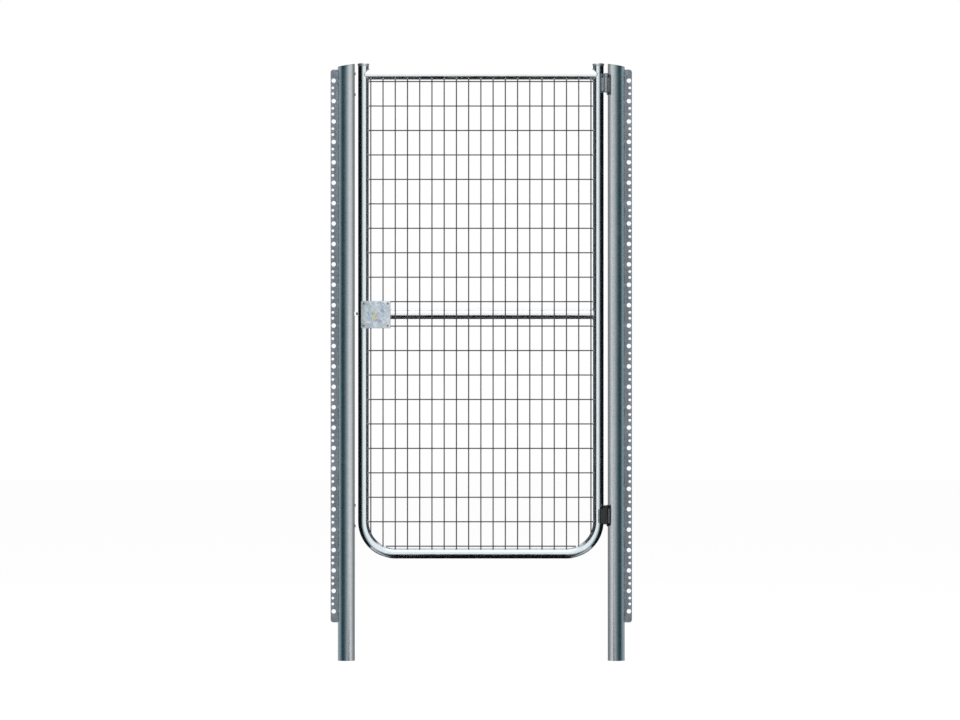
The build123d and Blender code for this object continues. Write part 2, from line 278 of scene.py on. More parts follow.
    @staticmethod
    def carve(obj: Object, *tools: Object, operation: str = "DIFFERENCE") -> Object:
        """Cuts each tool's volume out of a piece, or adds it, and puts the tool away."""
        for tool in tools:
            Bench.modify(obj, "BOOLEAN", operation=operation, solver="EXACT", object=tool)
            bpy.data.objects.remove(tool)
        return obj

    @staticmethod
    def cope(obj: Object, x: float, radius: float, low: float, high: float,
             sides: int = 96) -> Object:
        """Cuts a piece to the round of an upright tube that stands at X."""
        return Bench.carve(obj, Bench.bar("cope", (x, 0, low), Axis.UP, radius + SEAT,
                                          high - low, sides))

    @staticmethod
    def bevelled(obj: Object, width: float, segments: int, test: Test) -> Object:
        """Rounds the edges that a test accepts."""
        with Bench.editing(obj):
            Bench.pick(Select.EDGES, test)
            bpy.ops.mesh.bevel(offset=width, segments=segments, affect="EDGES")
        return obj

    @staticmethod
    def soften(obj: Object, width: float, segments: int = 2, angle: float = 50.0) -> Object:
        """Rounds the edges that are sharper than an angle in degrees."""
        return Bench.modify(obj, "BEVEL", width=width, segments=segments, limit_method="ANGLE",
                            angle_limit=math.radians(angle), harden_normals=False)

    @staticmethod
    def trim(obj: Object, point: Point, away: Point, filled: bool = True) -> Object:
        """Cuts off all that lies on one side of a plane."""
        with Bench.editing(obj, whole=True):
            bpy.ops.mesh.bisect(plane_co=tuple(point), plane_no=tuple(away),
                                clear_outer=True, use_fill=filled)
        return obj

    @staticmethod
    def join(name: str, objects: Sequence[Object]) -> Object:
        """One object from several."""
        Bench.take(*objects)
        if len(objects) > 1:
            bpy.ops.object.join()
        return Bench.settle(bpy.context.object, name)

    @staticmethod
    def bend_points(obj: Object, rule: Callable[[Vector], Vector]) -> Object:
        """Moves every point of a mesh by a rule, for curves that no operator gives."""
        for point in obj.data.vertices:
            point.co = rule(point.co)
        obj.data.update()
        return obj


def node_step(operation: str, swapped: bool = False) -> Callable[["Value", object], "Value"]:
    """The method behind one of Python's operators.

    Args:
        operation: The Math node's operation.
        swapped: Whether the plain number comes first.

    Returns:
        The method.
    """

    def method(self: "Value", other: object) -> "Value":
        """Adds the Math node."""
        first, second = (other, self) if swapped else (self, other)
        node = self.graph.add("ShaderNodeMath", {"operation": operation}, {0: first, 1: second})
        return Value(self.graph, node.outputs[0])

    return method


class Value:
    """A shader socket's number, to which Python's operators add Math nodes."""

    __add__, __radd__ = node_step("ADD"), node_step("ADD", True)
    __sub__, __rsub__ = node_step("SUBTRACT"), node_step("SUBTRACT", True)
    __mul__, __rmul__ = node_step("MULTIPLY"), node_step("MULTIPLY", True)

    def __init__(self, graph: "Graph", socket: bpy.types.NodeSocket) -> None:
        """Wraps one output socket of a graph."""
        self.graph = graph
        self.socket = socket

    def above(self, edge: float, width: float) -> "Value":
        """0 below an edge, 1 above it, with a soft step of a width between."""
        node = self.graph.add("ShaderNodeMapRange", {"interpolation_type": "SMOOTHSTEP"},
                              {0: self, 1: edge - width / 2, 2: edge + width / 2, 3: 0.0, 4: 1.0})
        return Value(self.graph, node.outputs[0])

    def kept(self) -> "Value":
        """The number held between 0 and 1."""
        node = self.graph.add("ShaderNodeClamp", {}, {0: self})
        return Value(self.graph, node.outputs[0])


class Graph:
    """A material's nodes."""

    def __init__(self, name: str) -> None:
        """Starts an empty material with its output."""
        self.material = bpy.data.materials.new(name)
        self.material.use_nodes = True
        self.tree = self.material.node_tree
        self.tree.nodes.clear()
        self.output = self.add("ShaderNodeOutputMaterial")
        self.coordinates = self.add("ShaderNodeTexCoord").outputs["Object"]

    def add(self, kind: str, settings: dict[str, object] | None = None,
            sockets: dict[int | str, object] | None = None) -> bpy.types.Node:
        """Makes any node.

        Args:
            kind: The node's type.
            settings: Its settings, set first; "stops" gives a ramp's places and colours.
            sockets: Values, wrapped numbers or sockets for its inputs, by name or number.

        Returns:
            The new node.
        """
        node = self.tree.nodes.new(kind)
        for key, value in (settings or {}).items():
            if key == "stops":
                ramp = node.color_ramp
                while len(ramp.elements) < len(value):
                    ramp.elements.new(0.5)
                for element, (position, colour) in zip(ramp.elements, value):
                    element.position = position
                    element.color = (*colour, 1)
            else:
                setattr(node, key, value)
        for key, value in (sockets or {}).items():
            target = node.inputs[key]
            if isinstance(value, Value):
                self.tree.links.new(value.socket, target)
            elif isinstance(value, bpy.types.NodeSocket):
                self.tree.links.new(value, target)
            elif target.type == "RGBA" and len(value) == 3:
                target.default_value = (*value, 1)
            else:
                target.default_value = value
        return node

    def stretched(self, scale: Place, turn: Place | None = None) -> bpy.types.NodeSocket:
        """Object coordinates, turned if a turn is given, then stretched."""
        vector = self.coordinates
        if turn:
            vector = self.add("ShaderNodeMapping", {}, {"Vector": vector,
                                                        "Rotation": turn}).outputs[0]
        return self.add("ShaderNodeMapping", {}, {"Vector": vector, "Scale": scale}).outputs[0]

    def noise(self, size: float, detail: float = 3.0, scale: Place = (1, 1, 1),
              turn: Place | None = None) -> Value:
        """A soft noise from 0 to 1 whose blotches have about a size in metres."""
        node = self.add("ShaderNodeTexNoise", {}, {"Vector": self.stretched(scale, turn),
                                                   "Scale": 1 / size, "Detail": detail})
        return Value(self, node.outputs["Fac"])

    def crystals(self, size: float, scale: Place = (1, 1, 1)) -> tuple[Value, Value]:
        """Crystal grains of a size: a random number for each grain, and its edge distance."""
        vector = self.stretched(scale)
        wobble = self.add("ShaderNodeTexNoise", {}, {"Vector": vector, "Scale": 0.9 / size})
        moved = self.add("ShaderNodeVectorMath", {"operation": "MULTIPLY_ADD"},
                         {0: wobble.outputs["Color"], 1: (size * 0.8,) * 3, 2: vector})
        cells = self.add("ShaderNodeTexVoronoi", {}, {"Vector": moved.outputs[0],
                                                      "Scale": 1 / size})
        parts = self.add("ShaderNodeSeparateColor", {}, {0: cells.outputs["Color"]})
        return Value(self, parts.outputs[0]), Value(self, parts.outputs[1])

    def mix(self, factor: Value | float, first: object, second: object) -> bpy.types.NodeSocket:
        """A colour between two."""
        node = self.add("ShaderNodeMix", {"data_type": "RGBA"}, {0: factor, 6: first, 7: second})
        return node.outputs[2]

    def ramp(self, factor: Value, stops: Sequence[tuple[float, RGB]]) -> bpy.types.NodeSocket:
        """A colour read from a ramp."""
        return self.add("ShaderNodeValToRGB", {"stops": stops}, {0: factor}).outputs[0]

    def close(self, shader: bpy.types.Node) -> bpy.types.Material:
        """Links the last shader and hands over the material."""
        self.tree.links.new(shader.outputs[0], self.output.inputs[0])
        return self.material

    def surface(self, colour: object, metallic: float, rough: Value, height: Value,
                relief: float, strength: float = 1.0) -> bpy.types.Material:
        """Closes the graph with its surface shader.

        Args:
            colour: The base colour.
            metallic: 1 for bare metal, 0 for a coating.
            rough: The roughness, held between 0 and 1 here.
            height: What pushes the surface's normal.
            relief: How deep that is, in metres.
            strength: How strongly it shows.

        Returns:
            The material.
        """
        bump = self.add("ShaderNodeBump", {}, {"Height": height, "Distance": relief,
                                               "Strength": strength})
        return self.close(self.add("ShaderNodeBsdfPrincipled", {}, {
            "Base Color": colour, "Metallic": metallic, "Roughness": rough.kept(),
            "Normal": bump.outputs[0]}))


@dataclass(frozen=True)
class Galvanised:
    """Hot-dip galvanised steel: zinc crystals, runs of thicker zinc and soft dulled patches."""

    name: str
    slot: str
    bright: RGB
    dull: RGB
    metallic: float = 1.0
    roughness: float = 0.20
    crystal: float = 7 * MM
    contrast: float = 0.22
    relief: float = 0.03 * MM
    runs: Place = (1, 1, 0.08)
    run_size: float = 12 * MM
    patch_size: float = 110 * MM
    speck_size: float = 1.6 * MM
    stain: RGB = (0.72, 0.73, 0.72)

    def material(self) -> bpy.types.Material:
        """Makes the material."""
        graph = Graph(self.name)
        grain, other = graph.crystals(self.crystal)
        run = graph.noise(self.run_size, 3, self.runs)
        patch = graph.noise(self.patch_size, 4)
        speck = graph.noise(self.speck_size, 2)
        shade = 0.5 + (grain - 0.5) * self.contrast + (run - 0.5) * (self.contrast * 1.1)
        shade = (shade + (patch - 0.5) * (self.contrast * 1.6)).kept()
        stain = patch.above(0.62, 0.12) * speck.above(0.55, 0.1)
        colour = graph.mix(stain * 0.22, graph.mix(shade, self.dull, self.bright), self.stain)
        rough = self.roughness + (other - 0.5) * 0.07 + (patch - 0.5) * 0.12 + stain * 0.12
        height = speck * 0.35 + grain * 0.25 + run * 0.8
        return graph.surface(colour, self.metallic, rough, height, self.relief)


@dataclass(frozen=True)
class SpangledSheet:
    """Zinc coated sheet whose large crystals take faint blue, green and rose tints."""

    name: str = "spangled_zinc"
    slot: str = "zinc_sheet"
    roughness: float = 0.34
    crystal: float = 14 * MM
    tints: tuple[tuple[float, RGB], ...] = (
        (0.0, (0.26, 0.34, 0.46)), (0.25, (0.48, 0.57, 0.64)), (0.45, (0.38, 0.50, 0.50)),
        (0.65, (0.58, 0.63, 0.66)), (0.82, (0.50, 0.48, 0.54)), (1.0, (0.68, 0.73, 0.77)))

    def material(self) -> bpy.types.Material:
        """Makes the material."""
        graph = Graph(self.name)
        grain, other = graph.crystals(self.crystal)
        small, _ = graph.crystals(self.crystal * 0.35)
        tint = graph.ramp(grain, self.tints)
        feather = graph.noise(4 * MM, 4, (1, 1, 0.35))
        arms = graph.noise(5 * MM, 2, (1, 1, 0.12), (0, math.radians(38), 0)).above(0.60, 0.10)
        lit = graph.mix(arms * 0.55, tint, (0.74, 0.82, 0.86))
        colour = graph.mix(small * 0.35, lit, graph.mix(feather, (0.30, 0.37, 0.44),
                                                         (0.66, 0.72, 0.76)))
        rough = self.roughness + (other - 0.5) * 0.22 + (feather - 0.5) * 0.08
        height = grain * 0.5 + small * 0.3 + feather * 0.3 + arms * 0.3
        return graph.surface(colour, 0.75, rough, height, 0.04 * MM)


@dataclass(frozen=True)
class BlackFitting:
    """Black coated steel, a little orange-peeled, paler where it is rubbed and dusty."""

    name: str = "black_coating"
    slot: str = "black_fitting"

    def material(self) -> bpy.types.Material:
        """Makes the material."""
        graph = Graph(self.name)
        peel = graph.noise(1.1 * MM, 2)
        dust = graph.noise(20 * MM, 4)
        worn = dust.above(0.6, 0.2) * peel.above(0.5, 0.3)
        colour = graph.mix(worn * 0.5, (0.010, 0.011, 0.013), (0.07, 0.075, 0.08))
        rough = 0.36 + dust * 0.2 + worn * 0.15
        return graph.surface(colour, 0.0, rough, peel, 0.05 * MM)


@dataclass(frozen=True)
class Brass:
    """Plain drawn brass with fine lines and a little tarnish."""

    name: str = "drawn_brass"
    slot: str = "brass"

    def material(self) -> bpy.types.Material:
        """Makes the material."""
        graph = Graph(self.name)
        line = graph.noise(0.6 * MM, 2, (1, 0.05, 1))
        tarnish = graph.noise(6 * MM, 4)
        colour = graph.mix((tarnish.above(0.5, 0.35) * 0.6).kept(), (0.66, 0.65, 0.42),
                           (0.42, 0.42, 0.27))
        rough = 0.24 + tarnish * 0.2 + line * 0.06
        return graph.surface(colour, 1.0, rough, line, 0.02 * MM)


@dataclass(frozen=True)
class BrightSteel:
    """Bright plated steel with drawing lines along it and dulled spots."""

    name: str
    slot: str
    colour: RGB = (0.72, 0.73, 0.74)
    shadow: RGB = (0.50, 0.52, 0.55)
    roughness: float = 0.22

    def material(self) -> bpy.types.Material:
        """Makes the material."""
        graph = Graph(self.name)
        line = graph.noise(0.7 * MM, 2, (0.06, 1, 1))
        spot = graph.noise(5 * MM, 4)
        colour = graph.mix((spot.above(0.52, 0.3) * 0.7 + line * 0.2).kept(), self.colour,
                           self.shadow)
        rough = self.roughness + spot * 0.16 + line * 0.05
        return graph.surface(colour, 1.0, rough, line * 0.6 + spot * 0.5, 0.03 * MM)


@dataclass(frozen=True)
class WeldMetal:
    """Weld metal under zinc: rippled, dull and a little lumpy."""

    name: str = "weld_metal"
    slot: str = "galvanised_fitting"

    def material(self) -> bpy.types.Material:
        """Makes the material."""
        graph = Graph(self.name)
        lump = graph.noise(2.4 * MM, 4)
        shade = graph.noise(9 * MM, 3)
        colour = graph.mix(shade, (0.34, 0.36, 0.38), (0.66, 0.68, 0.70))
        return graph.surface(colour, 0.8, 0.36 + shade * 0.2, lump, 0.35 * MM, 0.7)


POST_ZINC = Galvanised("post_zinc", "galvanised_tube", (0.61, 0.65, 0.67), (0.45, 0.49, 0.52),
                       roughness=0.27, crystal=10 * MM, relief=0.02 * MM)
LEAF_ZINC = Galvanised("leaf_zinc", "galvanised_tube", (0.84, 0.91, 0.95), (0.68, 0.75, 0.79))
# The rails take a brighter copy of the tube zinc so that their lit tops show white: a painted
# highlight on top of the zinc's own colour.
RAIL_ZINC_PAINTED_HIGHLIGHT = Galvanised("rail_zinc_painted_highlight", "galvanised_tube", (0.95, 0.96, 0.97), (0.80, 0.82, 0.83),
                       runs=(0.08, 1, 1))
STRIP_ZINC = Galvanised("strip_zinc", "galvanised_strip", (0.54, 0.57, 0.63), (0.34, 0.36, 0.41),
                        metallic=0.7, roughness=0.42, crystal=6 * MM, contrast=0.45,
                        relief=0.05 * MM)
# The wires' near-black base colour is painted shade: it darkens bare zinc to stand in for the shade
# that the wires read in.
WIRE_ZINC_PAINTED_SHADE = Galvanised("wire_zinc_painted_shade", "galvanised_wire", (0.13, 0.13, 0.14), (0.06, 0.063, 0.067),
                       metallic=0.7, roughness=0.40, crystal=4 * MM, contrast=0.35)
FITTING = {"metallic": 0.9, "roughness": 0.36, "crystal": 4 * MM, "contrast": 0.3,
           "relief": 0.06 * MM}
FITTING_ZINC = Galvanised("fitting_zinc", "galvanised_fitting", (0.80, 0.82, 0.83),
                          (0.50, 0.53, 0.55), **FITTING)
HINGE_ZINC = Galvanised("hinge_zinc", "galvanised_fitting", (0.50, 0.52, 0.54),
                        (0.30, 0.33, 0.35), **FITTING)
SHEET_ZINC = SpangledSheet()
BLACK = BlackFitting()
BRASS = Brass()
BOLT_STEEL = BrightSteel("bolt_steel", "bright_steel")
SCREW_STEEL = BrightSteel("screw_steel", "galvanised_fitting", (0.60, 0.62, 0.64),
                          (0.34, 0.36, 0.38), 0.32)
LOCK_SCREW = BrightSteel("lock_screw_steel", "zinc_sheet", (0.30, 0.31, 0.33),
                         (0.14, 0.15, 0.17), 0.34)
WELD = WeldMetal()
LEAF_WELD = WeldMetal("leaf_weld_metal", "galvanised_tube")
WIRE_WELD = WeldMetal("wire_weld_metal", "galvanised_wire")
BLACK_WELD = BlackFitting("black_weld_coating")
Finish = Galvanised | SpangledSheet | BlackFitting | Brass | BrightSteel | WeldMetal


class Workshop:
    """Dresses finished pieces and hangs them on their bodies."""

    def __init__(self) -> None:
        """Starts with no material made."""
        self._made: dict[str, bpy.types.Material] = {}
        self.count = 0

    def material(self, finish: Finish) -> bpy.types.Material:
        """A finish's material, made once."""
        if finish.name not in self._made:
            self._made[finish.name] = finish.material()
        return self._made[finish.name]

    def deliver(self, obj: Object, finish: Finish, body: Body, *nodes: str,
                angle: float = 40.0) -> Object:
        """Settles a piece, dresses it and hangs it on its body.

        Args:
            obj: The finished mesh.
            finish: Its finish.
            body: The body that it moves with.
            *nodes: The solids that it stands for.
            angle: Edges sharper than this, in degrees, stay crisp.

        Returns:
            The same object.
        """
        Bench.settle(obj)
        bpy.ops.object.shade_smooth_by_angle(angle=math.radians(angle))
        obj.data.materials.clear()
        obj.data.materials.append(self.material(finish))
        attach(obj, body.value)
        if nodes:
            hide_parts(*nodes)
        self.count += 1
        LOG.info("%s: %d faces on %s", obj.name, len(obj.data.polygons), body.value)
        return obj


@dataclass(frozen=True)
class Plan:
    """The places that several sub-assemblies share, read from the solids."""

    post_radius: float
    lock_post_x: float
    post_height: float
    tube_radius: float
    lock_upright_x: float
    hinge_upright_x: float
    upright_top: float
    bottom_rail_z: float
    top_rail_z: float
    middle_rail_y: float
    middle_rail_z: float
    hinge_x: float
    hinge_y: float
    lower_hinge_z: float
    upper_hinge_z: float

    @staticmethod
    def read() -> "Plan":
        """Reads the places."""
        post, lock_post, tube, top, middle, pins = (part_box(node) for node in (
            "hinge_post", "lock_post", "leaf_frame_tube", "top_rail", "middle_rail",
            "hinge_pins"))
        radius = (top[1].z - top[0].z) / 2
        return Plan(
            post_radius=(post[1].x - post[0].x) / 2,
            lock_post_x=(lock_post[0].x + lock_post[1].x) / 2,
            post_height=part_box("post_caps")[1].z,
            tube_radius=radius,
            lock_upright_x=tube[0].x + radius,
            hinge_upright_x=tube[1].x - radius,
            upright_top=tube[1].z,
            bottom_rail_z=tube[0].z + radius,
            top_rail_z=(top[0].z + top[1].z) / 2,
            middle_rail_y=(middle[0].y + middle[1].y) / 2,
            middle_rail_z=(middle[0].z + middle[1].z) / 2,
            hinge_x=(pins[0].x + pins[1].x) / 2,
            hinge_y=(pins[0].y + pins[1].y) / 2,
            lower_hinge_z=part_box("lower_hinge_bracket")[0].z,
            upper_hinge_z=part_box("upper_hinge_bracket")[0].z,
        )


class Fixings:
    """Small parts that are used in several places."""

    @staticmethod
    def hex_screw(at: Point, axis: Axis) -> Object:
        """A six-sided screw head with a chamfered crown, on a pressed flange."""
        across, height = 11 * MM, 3.6 * MM
        corner = across / 2 / math.cos(math.pi / 6)
        head = Bench.turned("head", at, axis, [
            (corner, 0.0), (corner, height * 0.78), (corner * 0.86, height)], 6)
        Bench.soften(head, 0.25 * MM, 2, 20)
        flange = Bench.turned("flange", at, axis, [
            (across * 0.60, 0.0), (across * 0.60, height * 0.16), (across * 0.50, height * 0.36)],
            32)
        return Bench.join("screw", [head, flange])

    @staticmethod
    def flat_screw(at: Point, axis: Axis) -> Object:
        """A low domed screw head with a six-sided socket."""
        radius, height = 4.2 * MM, 1.6 * MM
        head = Bench.turned("screw", at, axis, [
            (radius, -0.2 * MM), (radius, height * 0.45), (radius * 0.86, height * 0.8),
            (radius * 0.6, height)], 32)
        return Bench.carve(head, Bench.bar("bit", Vector(at) + axis.way * (height * 0.25), axis,
                                           radius * 0.38, height, 6))

    @staticmethod
    def bead(x: float, y: float, low: float, high: float, radius: float, seed: int) -> Object:
        """An upright run of weld, rippled and tapered at its ends.

        Args:
            x: X of its middle line.
            y: Y of its middle line.
            low: Its foot.
            high: Its top.
            radius: Its radius.
            seed: Picks its unevenness.

        Returns:
            The new object.
        """
        first, last = Vector((x, y, low)), Vector((x, y, high))
        length = (last - first).length
        steps = max(8, int(length / (1.3 * MM)))
        Bench.take()
        bpy.ops.mesh.primitive_uv_sphere_add(segments=10, ring_count=8, radius=radius)
        obj = Bench.settle(bpy.context.object, "bead")
        Bench.bevelled(obj, radius * 0.05, 1, lambda mid, way: abs(mid.z) < radius * 0.01)
        Bench.bend_points(obj, lambda p: Vector((p.x, p.y, p.z + math.copysign(
            length / 2 - radius, p.z))))
        with Bench.editing(obj):
            Bench.pick(Select.EDGES, lambda mid, way: abs(way.z) > 0.95 and abs(mid.z) < length / 4)
            bpy.ops.mesh.subdivide(number_cuts=steps)
        phase = random.Random(seed).random() * math.tau
        ripple = steps * 0.5 * math.tau / length

        def lumpy(p: Vector) -> Vector:
            """The ripple along the bead."""
            grow = 1 + 0.10 * math.sin(p.z * ripple + phase) + 0.06 * math.sin(p.z * 290 + phase)
            return Vector((p.x * grow, p.y * grow, p.z))

        Bench.bend_points(obj, lumpy)
        obj.rotation_mode = "QUATERNION"
        obj.rotation_quaternion = (last - first).to_track_quat("Z", "Y")
        obj.location = (first + last) / 2
        return Bench.settle(obj)

    @staticmethod
    def bolt_way(start: float, end: float, play: float) -> Object:
        """A tool that makes room for the bolt, with play round it, from X to X."""
        low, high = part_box("lock_bolt")
        return Bench.block("way", (start, low.y - play, low.z - play),
                           (end, high.y + play, high.z + play))

    @staticmethod
    def saddle_bead(centre: Place, side: float, radius: float, bead: float, seed: int) -> Object:
        """The weld round a rail where it meets an upright tube of the same radius.

        Args:
            centre: Where the rail's middle line meets the upright's, whose Y is 0.
            side: +1 where the rail leaves towards +X, -1 towards -X.
            radius: The radius of both tubes.
            bead: The weld's radius.
            seed: Picks its unevenness.

        Returns:
            The new object.
        """
        Bench.take()
        bpy.ops.mesh.primitive_torus_add(
            major_radius=radius, minor_radius=bead, major_segments=112, minor_segments=10,
            location=(0, centre[1], centre[2]), rotation=(0, math.pi / 2, 0))
        obj = Bench.settle(bpy.context.object, "bead")
        phase = random.Random(seed).random() * math.tau

        def saddle(p: Vector) -> Vector:
            """Slides a point to the upright's side and ripples it."""
            dy, dz = p.y - centre[1], p.z - centre[2]
            turn = math.atan2(dz, dy)
            out = math.hypot(dy, dz) - radius
            grow = 1 + 0.12 * math.sin(turn * 34 + phase) + 0.10 * math.sin(turn * 5 + phase)
            reach = math.sqrt(max(radius**2 - (centre[1] + radius * math.cos(turn))**2,
                                  (radius * 0.2)**2))
            return Vector((centre[0] + side * (reach + bead * 0.35) + p.x * grow,
                           centre[1] + (radius + out * grow) * math.cos(turn),
                           centre[2] + (radius + out * grow) * math.sin(turn)))

        Bench.bend_points(obj, saddle)
        with Bench.editing(obj):
            Bench.outward()
        return obj


@dataclass
class Posts:
    """The two round posts with their sloping caps, fence strips and spare screws."""

    shop: Workshop
    plan: Plan
    sides: int = 96
    wall: float = 2.9 * MM
    top_fall: float = 12 * MM
    cap_thickness: float = 3 * MM
    cap_rim: float = 3.2 * MM
    strip_thickness: float = 4 * MM
    corner_radius: float = 12 * MM
    end_margin: float = 45 * MM
    hole_radius: float = 9 * MM
    hole_pitch: float = 83.5 * MM
    hole_in: float = 16.5 * MM
    small_hole_radius: float = 5.5 * MM
    small_hole_in: float = 20 * MM
    small_hole_steps: tuple[float, float] = (30 * MM, 54 * MM)
    stitches_a_face: int = 9
    stitch_half: float = 17 * MM
    stitch_radius: float = 2.1 * MM
    slot_play: float = 3 * MM
    screw_middle: float = 44 * MM
    screw_spread: float = 42.5 * MM

    def slope(self, side: float) -> Vector:
        """The upward normal of a post's sloping top; it falls towards its outer side."""
        return Vector((side * self.top_fall, 0, 2 * self.plan.post_radius)).normalized()

    def post(self, name: str, x: float, side: float) -> Object:
        """A round post: a ring drawn up, cut on the slope and given its wall."""
        plan = self.plan
        obj = Bench.ring(name, plan.post_radius, (x, 0, 0), Axis.UP, self.sides)
        with Bench.editing(obj, whole=True):
            Bench.draw((0, 0, plan.post_height))
            Bench.outward()
        drop = self.top_fall / 2 + self.cap_thickness + SEAT
        Bench.trim(obj, (x, 0, plan.post_height - drop), self.slope(side), filled=False)
        return Bench.walled(obj, self.wall)

    def cap(self, name: str, x: float, side: float) -> Object:
        """The pressed lid that closes a post, with a rolled edge and a shallow dish."""
        plan, up, blank = self.plan, self.slope(side), 3 * self.top_fall
        obj = Bench.bar(name, (x, 0, plan.post_height - blank), Axis.UP, plan.post_radius, blank,
                        self.sides)
        middle = plan.post_height - self.top_fall / 2
        Bench.trim(obj, (x, 0, middle), up)
        Bench.trim(obj, (x, 0, middle - self.cap_thickness), -up)
        with Bench.editing(obj):
            Bench.pick(Select.FACES, lambda mid, way: way.dot(up) > 0.9)
            bpy.ops.mesh.inset(thickness=self.cap_rim)
            bpy.ops.mesh.inset(thickness=1.2 * MM, depth=-0.9 * MM)
        return Bench.soften(obj, 0.7 * MM, 3, 35)

    def strip(self, name: str, node: str, x: float, side: float) -> Object:
        """The punched flat bar that takes the fence, with its rounded outer corners."""
        low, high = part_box(node)
        outer = high.x if side > 0 else low.x
        obj = Bench.bevelled(Bench.block(name, low, high), self.corner_radius, 10,
                             lambda mid, way: abs(way.y) > 0.9 and abs(mid.x - outer) < MM)
        inner = x + side * (self.plan.post_radius + SEAT)
        length = high.z - low.z
        count = int((length - 2 * self.end_margin) // self.hole_pitch) + 1
        first = low.z + (length - (count - 1) * self.hole_pitch) / 2
        deep = self.strip_thickness

        def punches(radius: float, inset: float, start: float, number: int,
                    sides: int) -> Object:
            """A row of punches, one modelled and arrayed up the strip."""
            punch = Bench.bar("punch", (inner + side * inset, -deep, start), Axis.BACK, radius,
                              2 * deep, sides)
            return Bench.modify(punch, "ARRAY", count=number, use_relative_offset=False,
                                use_constant_offset=True,
                                constant_offset_displace=(0, 0, self.hole_pitch))

        Bench.carve(obj, punches(self.hole_radius, self.hole_in, first, count, 40))
        for step in self.small_hole_steps:
            Bench.carve(obj, punches(self.small_hole_radius, self.small_hole_in, first + step,
                                     count - 1, 24))
        return Bench.soften(obj, 0.35 * MM)

    def stitches(self, name: str, node: str, x: float, side: float) -> Object:
        """Short welds that hold the strip to its post, on both faces."""
        low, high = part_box(node)
        edge = x + side * (self.plan.post_radius - 0.4 * MM)
        step = (high.z - low.z - 2 * self.end_margin) / (self.stitches_a_face - 1)
        beads = []
        for face in (-1, 1):
            y = face * (self.strip_thickness / 2 + 0.9 * MM)
            for number in range(self.stitches_a_face):
                middle = low.z + self.end_margin + step * number
                beads.append(Fixings.bead(edge, y, middle - self.stitch_half,
                                          middle + self.stitch_half, self.stitch_radius,
                                          number + 40 * face))
        return Bench.join(name, beads)

    def build(self) -> None:
        """Makes both posts and all that is fixed to them but the hinges."""
        plan, deliver = self.plan, self.shop.deliver
        for label, x, side in (("hinge", 0.0, 1.0), ("lock", plan.lock_post_x, -1.0)):
            post, strip = self.post(f"{label}_post_tube", x, side), f"{label}_post_fence_strip"
            if label == "lock":
                slot = Fixings.bolt_way(x, x + 2 * plan.post_radius, self.slot_play)
                Bench.bevelled(slot, 2.5 * MM, 5, lambda mid, way: abs(way.x) > 0.9)
                Bench.carve(post, slot)
            Bench.soften(post, 0.45 * MM, 2, 60)
            deliver(post, POST_ZINC, Body.POSTS, f"{label}_post")
            deliver(self.cap(f"{label}_post_lid", x, side), POST_ZINC, Body.POSTS, "post_caps")
            deliver(self.strip(f"{label}_post_strip", strip, x, side), STRIP_ZINC, Body.POSTS,
                    strip, angle=30)
            deliver(self.stitches(f"{label}_post_strip_welds", strip, x, side), WELD, Body.POSTS)
        face = plan.lock_post_x + plan.post_radius + SEAT - 0.6 * MM
        screws = [Fixings.hex_screw((face, 0, foot + self.screw_middle + spread), Axis.X)
                  for foot in (plan.lower_hinge_z, plan.upper_hinge_z)
                  for spread in (-self.screw_spread, self.screw_spread)]
        deliver(Bench.join("spare_hinge_screws", screws), SCREW_STEEL, Body.POSTS,
                "lock_post_spare_screws", angle=25)


